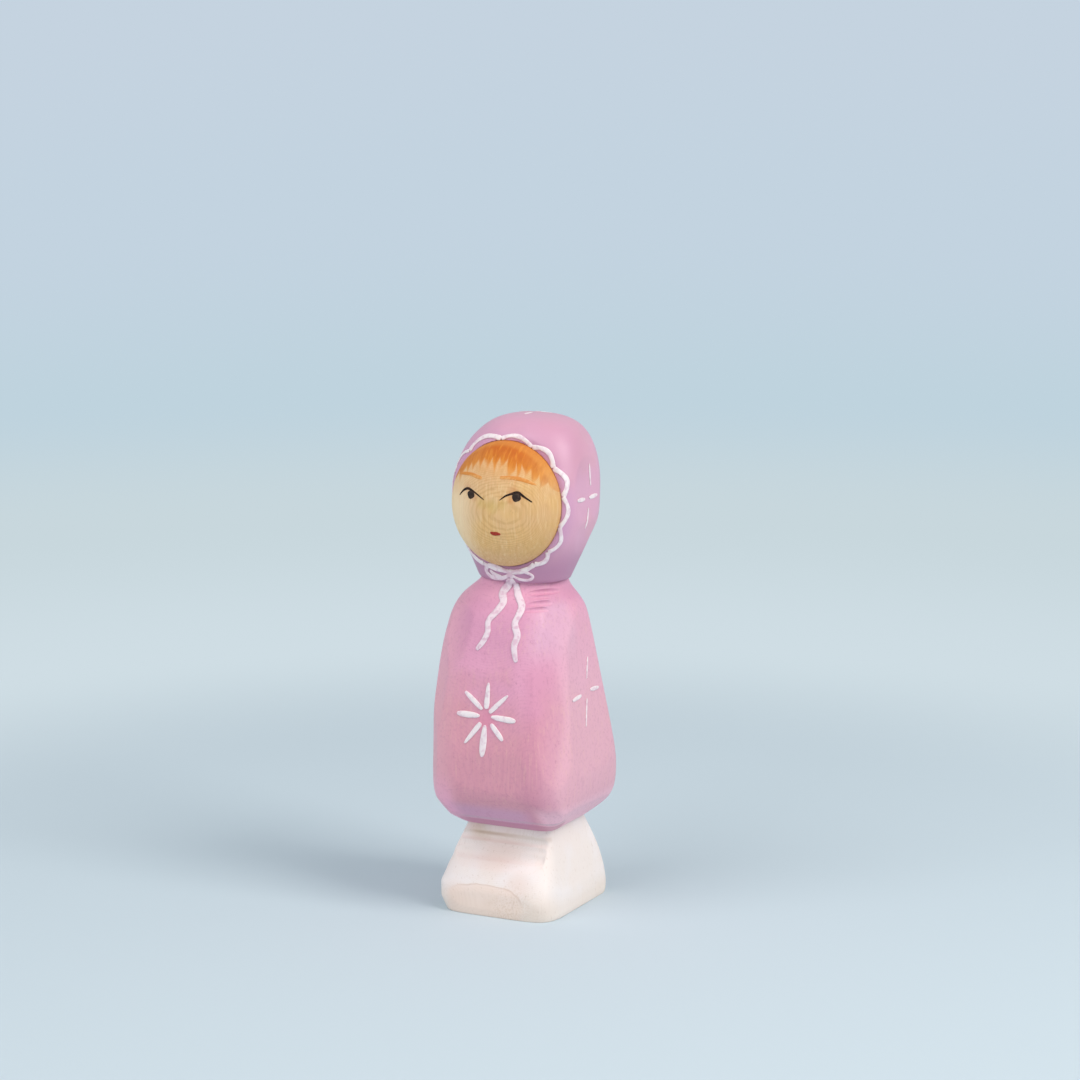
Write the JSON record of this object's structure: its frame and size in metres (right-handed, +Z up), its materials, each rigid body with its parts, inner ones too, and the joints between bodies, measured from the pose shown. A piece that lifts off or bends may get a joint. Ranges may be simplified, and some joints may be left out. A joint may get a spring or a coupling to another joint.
{
  "type": "peg doll",
  "caption": "Small hand-carved wooden figure of a child in a hooded dress, painted, that stands by itself on a flat foot block.",
  "frame": {"origin": "on the ground under the figure's axis, on the flat underside of the foot block", "axes": "+Z up; the figure faces -Y; +X is the figure's left"},
  "size_m": [0.0289, 0.0303, 0.0902],
  "materials": {
    "whitewashed_wood": "thin whitewash, matt",
    "rose_stained_wood": "rose stain under satin varnish",
    "lilac_stained_wood": "lilac-pink stain under satin varnish",
    "bare_wood": "clear satin varnish",
    "orange_glaze": "thin orange water-based paint",
    "brown_paint": "thin brown water-based paint",
    "black_paint": "black water-based paint",
    "red_paint": "dark red water-based paint",
    "white_paint": "thick white water-based paint"
  },
  "bodies": {
    "root": {"foot_block": "whitewashed_wood", "dress": "rose_stained_wood", "hood": "lilac_stained_wood", "face": "bare_wood", "hair_fringe": "orange_glaze", "left_eyebrow": "brown_paint", "right_eyebrow": "brown_paint", "left_eyelid": "black_paint", "right_eyelid": "black_paint", "left_pupil": "black_paint", "right_pupil": "black_paint", "lips": "red_paint", "lace_trim": "white_paint", "chin_bow": "white_paint", "left_ribbon_tail": "white_paint", "right_ribbon_tail": "white_paint", "front_flower": "white_paint", "left_dress_star": "white_paint", "right_dress_star": "white_paint", "left_hood_star": "white_paint", "right_hood_star": "white_paint", "crown_star": "white_paint"}
  },
  "joints": []
}
